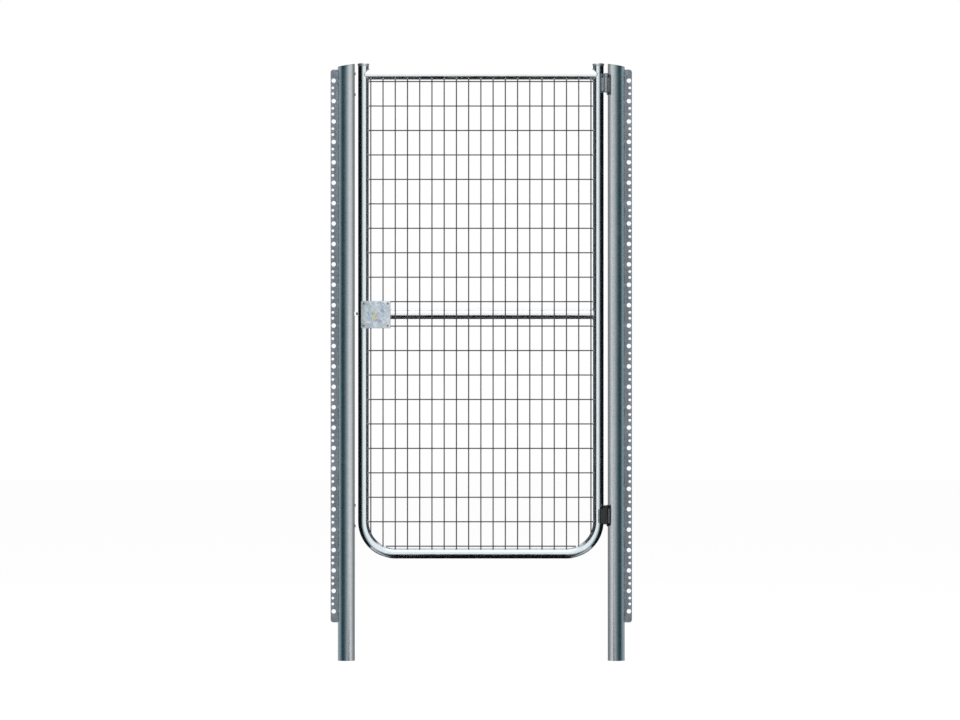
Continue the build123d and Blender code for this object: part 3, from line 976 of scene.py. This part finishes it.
@dataclass
class Hinge:
    """One hinge: a bracket and pin on the post, an eye on the leaf."""

    shop: Workshop
    plan: Plan
    label: str
    foot: float
    finish: Finish
    weld: Finish
    broad: bool
    height: float = 88 * MM
    lug_height: float = 12 * MM
    lug_fall: float = 9 * MM
    head_height: float = 3 * MM
    head_radius: float = 7.5 * MM
    end_play: float = 0.5 * MM
    pin_radius: float = 5 * MM
    eye_radius: float = 9 * MM
    broad_eye_radius: float = 9.9 * MM
    saddle: tuple[float, float] = (162.0, 196.0)
    saddle_thickness: float = 4 * MM
    leaf_plate: tuple[float, float] = (-32.0, 24.0)
    leaf_plate_thickness: float = 3.5 * MM

    @property
    def top(self) -> float:
        """The top of the bracket and of the pin's head."""
        return self.foot + self.height

    @property
    def under(self) -> float:
        """The underside of the pin's head."""
        return self.top - self.head_height

    def lug(self, low: float, high: float) -> Object:
        """One lug: a plate drawn round the pin and back to the saddle."""
        plan = self.plan
        root = math.radians(self.saddle[1] - 9)
        reach = plan.post_radius + self.saddle_thickness
        obj = Bench.wrapped("lug", [
            (plan.hinge_x, plan.hinge_y, self.eye_radius),
            (reach * math.cos(root), reach * math.sin(root), self.eye_radius * 0.7)], low, high)
        return Bench.cope(obj, 0, plan.post_radius, low - MM, high + MM)

    def bracket(self) -> Object:
        """The post's half: the bent saddle with a lug at each end, the lower one a wedge."""
        plan, foot, level = self.plan, self.foot, self.foot + self.lug_fall
        lower = self.lug(foot, foot + self.lug_height)
        wedge = Bench.block("wedge", (plan.hinge_x - 25 * MM, -60 * MM, foot - MM),
                            (5 * MM - plan.post_radius, 30 * MM, level))
        Bench.trim(wedge, (plan.hinge_x, 0, level),
                   (self.lug_fall, 0, -(plan.hinge_x + plan.post_radius)))
        Bench.carve(lower, wedge)
        upper = self.lug(self.under - self.lug_height, self.under)
        for lug in (lower, upper):
            Bench.soften(lug, 0.8 * MM, 3)
        inner = plan.post_radius + SEAT
        plate = Bench.curved_plate("saddle", (0, 0), (inner, inner + self.saddle_thickness),
                                   self.saddle, (foot, self.top))
        Bench.soften(plate, 0.9 * MM, 3)
        return Bench.join(f"{self.label}_bracket", [plate, lower, upper])

    def pin(self) -> Object:
        """The pin with its flat head, chamfered foot and centre mark."""
        plan, foot, under, top = self.plan, self.foot + self.lug_fall, self.under, self.top
        return Bench.turned(f"{self.label}_pin", (plan.hinge_x, plan.hinge_y, 0), Axis.UP, [
            (self.pin_radius * 0.8, foot), (self.pin_radius, foot + MM),
            (self.pin_radius, under), (self.head_radius, under),
            (self.head_radius, top - 0.9 * MM), (6.7 * MM, top), (2.0 * MM, top),
            (1.2 * MM, top - 0.8 * MM)])

    def eye(self) -> Object:
        """The leaf's half: the eye, its web and what it is fixed to the upright with."""
        plan, tube, upright = self.plan, self.plan.tube_radius, self.plan.hinge_upright_x
        low = self.foot + self.lug_height + self.end_play
        high = self.under - self.lug_height - self.end_play
        if self.broad:
            reach, turn = tube + 6 * MM, math.radians(-66)
            body = bored = Bench.wrapped("eye", [
                (plan.hinge_x, plan.hinge_y, self.broad_eye_radius),
                (upright + reach * math.cos(turn), reach * math.sin(turn), 6 * MM)], low, high)
            pieces = [body]
        else:
            turn, radius = math.radians(-16), self.eye_radius
            body = Bench.wrapped("eye", [
                (plan.hinge_x, plan.hinge_y, radius * 0.6),
                (upright + tube * math.cos(turn), tube * math.sin(turn), radius * 0.5)],
                low + 2 * MM, high - 2 * MM)
            bored = Bench.turned("barrel", (plan.hinge_x, plan.hinge_y, 0), Axis.UP, [
                (radius - MM, low), (radius, low + MM), (radius, high - MM), (radius - MM, high)])
            inner = tube + SEAT
            plate = Bench.curved_plate("plate", (upright, 0.0),
                                       (inner, inner + self.leaf_plate_thickness),
                                       self.leaf_plate, (low, high))
            Bench.soften(plate, 0.8 * MM, 3)
            pieces = [body, bored, plate]
        Bench.cope(body, upright, tube, low - MM, high + MM)
        Bench.soften(body, 1.1 * MM, 3)
        Bench.carve(bored, Bench.bar("bore", (plan.hinge_x, plan.hinge_y, low - MM), Axis.UP,
                                     self.pin_radius + 0.05 * MM, high - low + 2 * MM))
        return Bench.join(f"{self.label}_eye_body", pieces)

    def seams(self, part: str, x: float, reach: float, angles: Sequence[float],
              heights: tuple[float, float], radius: float, seed: float) -> Object:
        """Upright welds at angles in degrees round the tube that stands at X."""
        turns = [math.radians(angle) for angle in angles]
        return Bench.join(f"{self.label}_{part}_welds", [
            Fixings.bead(x + reach * math.cos(turn), reach * math.sin(turn), *heights, radius,
                         number + int(seed)) for number, turn in enumerate(turns)])

    def build(self) -> None:
        """Makes the hinge's pieces."""
        plan, foot, deliver = self.plan, self.foot, self.shop.deliver
        deliver(self.bracket(), self.finish, Body.POSTS, f"{self.label}_bracket")
        deliver(self.seams("bracket", 0, plan.post_radius + 1.0 * MM, self.saddle,
                           (foot + 10 * MM, self.top - 4 * MM), 2.0 * MM, foot * 100),
                self.weld, Body.POSTS)
        deliver(self.pin(), SCREW_STEEL, Body.POSTS, "hinge_pins", angle=30)
        deliver(self.eye(), self.finish, Body.LEAF, f"{self.label}_eye")
        inside = self.lug_height + 3 * MM
        deliver(self.seams("eye", plan.hinge_upright_x, plan.tube_radius + 0.9 * MM,
                           (-88, -38) if self.broad else (-33, 25),
                           (foot + inside, self.under - inside), 1.7 * MM, foot * 90),
                self.weld, Body.LEAF)


@dataclass
class LeafFrame:
    """The bent frame tube, its two rails, their welds and the upright caps."""

    shop: Workshop
    plan: Plan
    wall: float = 2.6 * MM
    bend_radius: float = 130 * MM
    bend_steps: int = 20
    sides: int = 72
    cap_height: float = 12 * MM
    cap_lip: float = 2 * MM
    plug_depth: float = 16 * MM
    bolt_play: float = 0.5 * MM
    weld_radius: float = 1.9 * MM

    def tube(self) -> Object:
        """One ring drawn down, spun round both bends and drawn up again."""
        plan, bend, reach = self.plan, self.bend_radius, 2 * self.plan.tube_radius
        left, right, corner = plan.lock_upright_x, plan.hinge_upright_x, plan.bottom_rail_z + bend
        obj = Bench.ring("leaf_tube", plan.tube_radius, (left, 0, plan.upright_top), Axis.UP,
                         self.sides)
        with Bench.editing(obj, whole=True):
            Bench.draw((0, 0, corner - plan.upright_top))
            for middle, onward in ((left + bend, (right - left - 2 * bend, 0, 0)),
                                   (right - bend, (0, 0, plan.upright_top - corner))):
                bpy.ops.mesh.spin(steps=self.bend_steps, angle=math.pi / 2, axis=(0, 1, 0),
                                  center=(middle, 0, corner))
                Bench.draw(onward)
            Bench.outward()
        Bench.walled(obj, self.wall)
        return Bench.carve(obj, Fixings.bolt_way(left - reach, left + reach, self.bolt_play))

    def rail(self, name: str, node: str) -> Object:
        """A rail drawn along the leaf and coped to the uprights that it meets."""
        plan, radius = self.plan, self.plan.tube_radius
        low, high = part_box(node)
        y, z = (low.y + high.y) / 2, (low.z + high.z) / 2
        obj = Bench.bar(name, (low.x, y, z), Axis.X, radius, high.x - low.x, self.sides)
        for x in (plan.lock_upright_x, plan.hinge_upright_x):
            if low.x - 30 * MM < x < high.x + 30 * MM:
                Bench.cope(obj, x, radius, z - 2 * radius, z + 2 * radius, self.sides)
        return obj

    def cap(self, name: str, x: float) -> Object:
        """A flared plug with a rounded rim and a shallow dimple on top."""
        plan, height = self.plan, self.cap_height
        lip = plan.tube_radius + self.cap_lip
        bore = plan.tube_radius - self.wall - SEAT
        return Bench.turned(name, (x, 0, plan.upright_top + SEAT), Axis.UP, [
            (bore, -self.plug_depth), (bore, 0.0), (plan.tube_radius, 0.0),
            (plan.tube_radius + 0.3 * MM, height * 0.2), (lip, height * 0.45),
            (lip, height * 0.66), (lip - 0.9 * MM, height * 0.84), (lip - 2.6 * MM, height * 0.96),
            (lip - 5.2 * MM, height), (lip - 9 * MM, height), (lip - 11 * MM, height * 0.93),
            (3 * MM, height * 0.93)], self.sides)

    def build(self) -> None:
        """Makes the frame's pieces."""
        plan, deliver = self.plan, self.shop.deliver
        left, right = plan.lock_upright_x, plan.hinge_upright_x
        deliver(self.tube(), LEAF_ZINC, Body.LEAF, "leaf_frame_tube")
        for node in ("top_rail", "middle_rail"):
            deliver(self.rail(f"{node}_tube", node), RAIL_ZINC_PAINTED_HIGHLIGHT, Body.LEAF, node)
        meetings = (((left, 0.0, plan.top_rail_z), 1), ((right, 0.0, plan.top_rail_z), -1),
                    ((right, plan.middle_rail_y, plan.middle_rail_z), -1))
        deliver(Bench.join("rail_welds", [
            Fixings.saddle_bead(place, side, plan.tube_radius, self.weld_radius, seed)
            for seed, (place, side) in enumerate(meetings)]), LEAF_WELD, Body.LEAF, angle=60)
        for label, x in (("lock", left), ("hinge", right)):
            deliver(self.cap(f"{label}_upright_plug", x), FITTING_ZINC, Body.LEAF,
                    "upright_caps", angle=50)


@dataclass
class MeshPanel:
    """The welded wire mesh: round wires, their crossing welds and end welds."""

    shop: Workshop
    plan: Plan
    wire_radius: float = 2.5 * MM
    pitch_x: float = 50 * MM
    pitch_z: float = 100 * MM
    forward: float = 13.5 * MM
    bend_radius: float = 130 * MM
    sides: int = 12
    cut_edge: float = 0.5 * MM
    seed: int = 7
    ends: list[Place] = field(default_factory=list)

    def places(self, low: float, high: float, pitch: float) -> list[float]:
        """Evenly pitched places centred between two tubes."""
        count = int((high - low - 2 * self.wire_radius) // pitch) + 1
        first = (low + high - (count - 1) * pitch) / 2
        return [first + number * pitch for number in range(count)]

    def reach(self, y: float) -> float:
        """How far from its middle line a frame tube still meets a wire."""
        return math.sqrt(self.plan.tube_radius**2 - y**2) + SEAT

    def inset(self, off: float, reach: float) -> float:
        """How far in from the frame's middle line a wire starts.

        Args:
            off: How far the wire is from the middle line of the tube beside it.
            reach: How far from its middle line the tube still meets the wire.

        Returns:
            The distance, which grows where the wire runs into one of the bends.
        """
        bend = self.bend_radius
        if off >= bend:
            return reach
        return bend - math.sqrt(max((bend - reach)**2 - (bend - off + self.wire_radius)**2, 0))

    def wire(self, start: Place, axis: Axis, length: float) -> Object:
        """One drawn wire with cut, slightly rounded ends."""
        radius, edge = self.wire_radius, self.cut_edge
        self.ends += [start, tuple(Vector(start) + axis.way * length)]
        return Bench.turned("wire", start, axis, [
            (radius * 0.8, 0.0), (radius, edge), (radius, length - edge),
            (radius * 0.8, length)], self.sides)

    def nugget(self) -> Object:
        """The small squeezed weld where two wires cross."""
        Bench.take()
        bpy.ops.mesh.primitive_uv_sphere_add(segments=8, ring_count=5,
                                             radius=self.wire_radius * 0.98,
                                             location=(0, -self.forward, 0))
        nugget = bpy.context.object
        nugget.scale = (1.16, 0.72, 1.16)
        return Bench.settle(nugget, "nugget")

    def welds(self, crossings: Sequence[tuple[float, float]]) -> Object:
        """A weld at each crossing and a larger one at each wire's end."""
        nugget, chance = self.nugget(), random.Random(self.seed)
        spots = []
        for x, z in crossings:
            grow = 0.92 + 0.16 * chance.random()
            spots.append(((x, 0, z), (grow, 1, grow)))
        for x, y, z in self.ends:
            grow = 1.15 + 0.2 * chance.random()
            spots.append(((x, y + self.forward * grow, z), (grow, grow, grow)))
        blobs = []
        for place, scale in spots:
            blob = bpy.data.objects.new("blob", nugget.data.copy())
            bpy.context.collection.objects.link(blob)
            blob.location, blob.scale = place, scale
            blobs.append(blob)
        bpy.data.objects.remove(nugget)
        Bench.take(*blobs)
        bpy.ops.object.transform_apply(location=True, rotation=True, scale=True)
        return Bench.join("mesh_welds", blobs)

    def build(self) -> None:
        """Makes the wires and their welds."""
        plan, radius, tube = self.plan, self.wire_radius, self.plan.tube_radius
        left, right, bottom = plan.lock_upright_x, plan.hinge_upright_x, plan.bottom_rail_z
        columns = self.places(left + tube, right - tube, self.pitch_x)
        rows = self.places(bottom + tube, plan.top_rail_z - tube, self.pitch_z)
        case_low, case_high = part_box("lock_front_plate")
        near, far = self.reach(-self.forward), self.reach(2 * radius - self.forward)
        wires, crossings = [], []
        spans: dict[float, list[tuple[float, float]]] = {}
        for x in columns:
            low = bottom + self.inset(min(x - left, right - x), near)
            high = plan.top_rail_z - near
            spans[x] = [(low, high)]
            if x - 2 * radius < case_high.x:
                spans[x] = [(low, case_low.z - SEAT), (case_high.z + SEAT, high)]
            for foot, top in spans[x]:
                wires.append(self.wire((x, -self.forward - radius, foot), Axis.UP, top - foot))
        for z in rows:
            inset = self.inset(z - bottom, far)
            start, end = left + inset, right - inset
            if case_low.z - 2 * radius < z < case_high.z + 2 * radius:
                start = case_high.x + SEAT
            wires.append(self.wire((start, radius - self.forward, z), Axis.X, end - start))
            crossings += [(x, z) for x in columns if start < x < end
                          and any(foot < z < top for foot, top in spans[x])]
        deliver = self.shop.deliver
        deliver(Bench.join("mesh_wires", wires), WIRE_ZINC_PAINTED_SHADE, Body.LEAF, "mesh_panel")
        deliver(self.welds(crossings), WIRE_WELD, Body.LEAF, angle=80)


@dataclass
class Lock:
    """The lock case with its plates and screws, the key cylinder and the bolt."""

    shop: Workshop
    plan: Plan
    sheet: float = 3 * MM
    corner_radius: float = 4 * MM
    cylinder_radius: float = 8.5 * MM
    tail_width: float = 10 * MM
    plug_groove: tuple[float, float] = (5.8 * MM, 6.2 * MM)
    keyway_depth: float = 3 * MM
    keyway: tuple[Place, Place] = ((0.55 * MM, -4.6 * MM, 2.4 * MM),
                                   (1.3 * MM, -1.9 * MM, -0.7 * MM))
    screw_inset: float = 11 * MM

    def keyhole(self, name: str, front: float, back: float, grow: float) -> Object:
        """The cylinder's outline as a solid from front to back, grown on every side."""
        low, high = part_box("lock_cylinder")
        x = (low.x + high.x) / 2
        round_z, toe_z = high.z - self.cylinder_radius, low.z + self.tail_width / 2
        tail, depth = self.tail_width / 2 + grow, back - front
        head = Bench.bar(name, (x, front, round_z), Axis.BACK, self.cylinder_radius + grow,
                         depth, 64)
        stem = Bench.block("stem", (x - tail, front, toe_z), (x + tail, back, round_z))
        toe = Bench.bar("toe", (x, front, toe_z), Axis.BACK, tail, depth)
        return Bench.carve(head, stem, toe, operation="UNION")

    def plate(self, name: str, node: str) -> Object:
        """One plate with rounded corners, an eased edge and the cylinder's opening."""
        low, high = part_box(node)
        obj = Bench.bevelled(Bench.block(name, low, high), self.corner_radius, 8,
                             lambda mid, way: abs(way.y) > 0.9)
        Bench.carve(obj, self.keyhole("opening", low.y - MM, high.y + MM, SEAT))
        return Bench.soften(obj, 0.6 * MM, 3)

    def case(self) -> Object:
        """The folded band between the plates."""
        low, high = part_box("lock_case")
        plan, sheet = self.plan, self.sheet
        obj = Bench.bevelled(
            Bench.block("lock_band", (plan.lock_upright_x, low.y, low.z), high), 3.5 * MM, 6,
            lambda mid, way: abs(way.y) > 0.9 and mid.x > high.x - MM)
        Bench.carve(obj, Bench.block(
            "room", (plan.lock_upright_x - 50 * MM, low.y - MM, low.z + sheet),
            (high.x - sheet, high.y + MM, high.z - sheet)))
        Bench.cope(obj, plan.lock_upright_x, plan.tube_radius, low.z - MM, high.z + MM)
        return Bench.soften(obj, 0.4 * MM)

    def cylinder(self) -> Object:
        """The brass key cylinder with a turned plug and a keyway at each end."""
        low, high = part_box("lock_cylinder")
        x, z = (low.x + high.x) / 2, high.z - self.cylinder_radius
        body = self.keyhole("key_cylinder", low.y, high.y, 0.0)
        Bench.soften(body, 0.5 * MM)
        plug, ring = self.plug_groove
        for end, axis in ((low.y, Axis.FRONT), (high.y, Axis.BACK)):
            face = Vector((x, end, z))
            groove = Bench.bar("groove", face - axis.way * 0.5 * MM, axis, ring, 1.5 * MM)
            Bench.carve(groove, Bench.bar("core", face - axis.way * 2 * MM, axis, plug, 4 * MM))
            Bench.carve(body, groove)
            for half, foot, top in self.keyway:
                Bench.carve(body, Bench.block(
                    "keyway", (x - half, end - self.keyway_depth, z + foot),
                    (x + half, end + self.keyway_depth, z + top)))
        return body

    def bolt(self) -> Object:
        """The flat bolt with its chamfered nose and eased edges."""
        low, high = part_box("lock_bolt")
        obj = Bench.bevelled(Bench.block("bolt_bar", low, high), 4 * MM, 1,
                             lambda mid, way: abs(way.z) > 0.9 and mid.x < low.x + MM)
        return Bench.soften(obj, 0.5 * MM, 3, 25)

    def build(self) -> None:
        """Makes the lock's pieces."""
        deliver, inset = self.shop.deliver, self.screw_inset
        for face in ("front", "back"):
            deliver(self.plate(f"lock_{face}", f"lock_{face}_plate"), SHEET_ZINC, Body.LEAF,
                    f"lock_{face}_plate")
        deliver(self.case(), SHEET_ZINC, Body.LEAF, "lock_case")
        deliver(self.cylinder(), BRASS, Body.LEAF, "lock_cylinder")
        deliver(self.bolt(), BOLT_STEEL, Body.BOLT, "lock_bolt")
        low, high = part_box("lock_front_plate")
        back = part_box("lock_back_plate")[1].y
        screws = [Fixings.flat_screw((x, y, z), axis)
                  for x in (low.x + inset, high.x - inset) for z in (low.z + inset, high.z - inset)
                  for y, axis in ((low.y, Axis.FRONT), (back, Axis.BACK))]
        deliver(Bench.join("lock_screws", screws), LOCK_SCREW, Body.LEAF, angle=30)


# Angles round a post from the camera's side, outer side negative, and what is mirrored there
POST_SHADES = (
    (-150, -98, (0.48, 0.56, 0.57)), (-98, -79, (0.39, 0.48, 0.51)),
    (-79, -64, (0.22, 0.31, 0.33)), (-64, -30, (0.03, 0.075, 0.09)),
    (-30, -18, (0.07, 0.12, 0.14)), (-18, -6, (0.16, 0.22, 0.235)),
    (-6, 8, (0.34, 0.40, 0.42)), (8, 24, (0.58, 0.61, 0.60)))
# Y from, Y to and brightness of the light cards that a post's inner side mirrors
GAP_SHADES = ((-56 * MM, -38 * MM, 1.0), (-38 * MM, -28 * MM, 0.9),
              (-28 * MM, -19 * MM, 0.55), (-19 * MM, 30 * MM, 0.33))


@dataclass
class Studio:
    """Camera, lights, floor and the cards that shape the reflections."""

    plan: Plan
    camera_distance: float = 20.0
    frame_width: float = 3.928
    middle_x: float = -0.5575
    middle_z: float = 1.2296
    low_z: float = -1.5
    near_radius: float = 0.15
    near_span: tuple[float, float] = (-0.6, 2.8)
    far_radius: float = 3.2
    far_span: tuple[float, float] = (-3.0, 4.5)
    fill: float = 0.55

    def camera(self) -> None:
        """The camera, square to the leaf, with a lens that fits the photograph's frame width at the
        gate.
        """
        bpy.ops.object.camera_add(location=(self.middle_x, -self.camera_distance, self.middle_z),
                                  rotation=(math.pi / 2, 0, 0))
        camera = bpy.context.object
        camera.name = "camera"
        camera.data.sensor_width = 36.0
        camera.data.lens = 36.0 * self.camera_distance / self.frame_width
        camera.data.clip_end = 200
        bpy.context.scene.camera = camera

    @staticmethod
    def white(tree: bpy.types.NodeTree) -> bpy.types.NodeSocket:
        """1 for rays that show the background: straight, mirrored and through glass."""
        path = tree.nodes.new("ShaderNodeLightPath")
        total = path.outputs["Is Camera Ray"]
        for name in ("Is Glossy Ray", "Is Transmission Ray"):
            step = tree.nodes.new("ShaderNodeMath")
            step.operation = "MAXIMUM"
            tree.links.new(total, step.inputs[0])
            tree.links.new(path.outputs[name], step.inputs[1])
            total = step.outputs[0]
        return total

    def world(self) -> None:
        """A white surround that lights the gate softly."""
        world = bpy.data.worlds.new("surround")
        bpy.context.scene.world = world
        world.use_nodes = True
        tree = world.node_tree
        tree.nodes.clear()
        output = tree.nodes.new("ShaderNodeOutputWorld")
        background = tree.nodes.new("ShaderNodeBackground")
        background.inputs[0].default_value = (1, 1, 1, 1)
        mix = tree.nodes.new("ShaderNodeMix")
        tree.links.new(self.white(tree), mix.inputs[0])
        mix.inputs[2].default_value = self.fill
        mix.inputs[3].default_value = 1.0
        tree.links.new(mix.outputs[0], background.inputs[1])
        tree.links.new(background.outputs[0], output.inputs[0])

    def floor(self) -> None:
        """A plain pale floor that shows white and keeps a faint shadow."""
        Bench.take()
        bpy.ops.mesh.primitive_plane_add(size=60, location=(self.middle_x, 0, 0))
        floor = Bench.settle(bpy.context.object, "floor")
        graph = Graph("floor_white")
        shader = graph.add("ShaderNodeBsdfDiffuse", {}, {"Color": (0.86, 0.86, 0.86)})
        glow = graph.add("ShaderNodeEmission", {}, {"Color": (1, 1, 1), "Strength": 1.07})
        ray = Value(graph, self.white(graph.tree))
        floor.data.materials.append(graph.close(graph.add("ShaderNodeMixShader", {}, {
            0: ray * 0.85, 1: shader.outputs[0], 2: glow.outputs[0]})))
        floor.visible_glossy = False

    def lamp(self, name: str, place: Place, aim: Place, size: tuple[float, float],
             energy: float) -> None:
        """A soft rectangular lamp that the camera doesn't see."""
        bpy.ops.object.light_add(type="AREA", location=place)
        lamp = bpy.context.object
        lamp.name = name
        lamp.data.shape = "RECTANGLE"
        lamp.data.size, lamp.data.size_y = size
        lamp.data.energy = energy
        lamp.rotation_mode = "QUATERNION"
        lamp.rotation_quaternion = (Vector(aim) - Vector(place)).to_track_quat("-Z", "Y")
        lamp.visible_camera = False
        lamp.visible_glossy = False

    def card(self, name: str, corners: Sequence[tuple[Place, Place]], glow: RGB) -> None:
        """A plain card that only reflections see.

        Args:
            name: The card's name.
            corners: Pairs of opposite edge points, one pair for each end of its panels.
            glow: Its colour as it is mirrored.
        """
        mesh = bpy.data.meshes.new(name)
        verts = [point for pair in corners for point in pair]
        faces = [(2 * n, 2 * n + 2, 2 * n + 3, 2 * n + 1) for n in range(len(corners) - 1)]
        mesh.from_pydata(verts, [], faces)
        card = bpy.data.objects.new(name, mesh)
        bpy.context.collection.objects.link(card)
        graph = Graph(name)
        mesh.materials.append(graph.close(graph.add("ShaderNodeEmission", {}, {
            "Color": glow, "Strength": 1.0})))
        card.visible_camera = False
        card.visible_diffuse = False
        card.visible_transmission = False
        card.visible_shadow = False

    def standing(self, name: str, x: float, radius: float, angles: tuple[float, float],
                 glow: RGB, span: tuple[float, float]) -> None:
        """An upright card bent round the point x, at angles from the camera's side to +X."""
        start, end = angles
        steps = max(2, int(abs(end - start) / 6))
        corners = []
        for number in range(steps + 1):
            turn = math.radians(start + (end - start) * number / steps)
            at_x, at_y = x + radius * math.sin(turn), -radius * math.cos(turn)
            corners.append(((at_x, at_y, span[0]), (at_x, at_y, span[1])))
        self.card(name, corners, glow)

    def upright(self, name: str, x: float, near: float, far: float, span: tuple[float, float],
                glow: RGB) -> None:
        """A flat upright card that faces along X."""
        self.card(name, [tuple((x, y, z) for z in span) for y in (near, far)], glow)

    def level(self, name: str, across: tuple[float, float], along: tuple[float, float],
              height: float, glow: RGB) -> None:
        """A flat level card."""
        self.card(name, [tuple((x, y, height) for y in along) for x in across], glow)

    def build(self) -> None:
        """Sets up the whole studio."""
        bpy.context.scene.view_settings.view_transform = "Standard"
        self.camera()
        self.world()
        self.floor()
        middle = (self.middle_x, 0.0, self.middle_z)
        self.lamp("front_softbox", (self.middle_x - 1.5, -7.0, 5.0), middle, (5, 4), 260)
        self.lamp("top_softbox", (self.middle_x, -0.5, 6.5), middle, (5, 3), 160)
        for label, side, post_x in (("left", -1, self.plan.lock_post_x), ("right", 1, 0.0)):
            first = 34 if side < 0 else 50
            self.standing(f"far_side_card_{label}", self.middle_x, self.far_radius,
                          (first * side, 150 * side), (0.03, 0.035, 0.04), self.far_span)
            for number, (start, end, glow) in enumerate(POST_SHADES):
                self.standing(f"post_card_{label}_{number}", post_x, self.near_radius,
                              (-start * side, -end * side), glow, self.near_span)
            x = post_x - side * (self.plan.post_radius + 5 * MM)
            for number, (near, far, glow) in enumerate(GAP_SHADES):
                self.upright(f"gap_light_{label}_{number}", x, near, far, self.near_span,
                             (glow, glow, glow))
            self.upright(f"gap_dark_{label}", x - side * 2 * MM, GAP_SHADES[0][0],
                         GAP_SHADES[-1][1], (0.40, 2.8), (0.004, 0.005, 0.005))
        for name, across, along in (("low_card", (-1.3, 0.2), (-6.5, 3.6)),
                                    ("low_card_left", (-3.1, -1.3), (-3.0, 1.5)),
                                    ("low_card_right", (0.2, 2.0), (-3.0, 1.5))):
            self.level(name, across, along, self.low_z, (0.006, 0.006, 0.007))
        self.level("high_card", (-1.6, 0.5), (-9.0, 2.0), 5.0, (1.3, 1.3, 1.3))


def main() -> None:
    """Builds the gate and the studio, piece by piece, and logs how many pieces were made."""
    logging.basicConfig(level=logging.INFO, format="%(name)s %(message)s")
    shop = Workshop()
    plan = Plan.read()
    Posts(shop, plan).build()
    Hinge(shop, plan, "upper_hinge", plan.upper_hinge_z, HINGE_ZINC, WELD, False).build()
    Hinge(shop, plan, "lower_hinge", plan.lower_hinge_z, BLACK, BLACK_WELD, True).build()
    LeafFrame(shop, plan).build()
    MeshPanel(shop, plan).build()
    Lock(shop, plan).build()
    Studio(plan).build()
    LOG.info("%d pieces", shop.count)


if __name__ == "__main__":
    main()
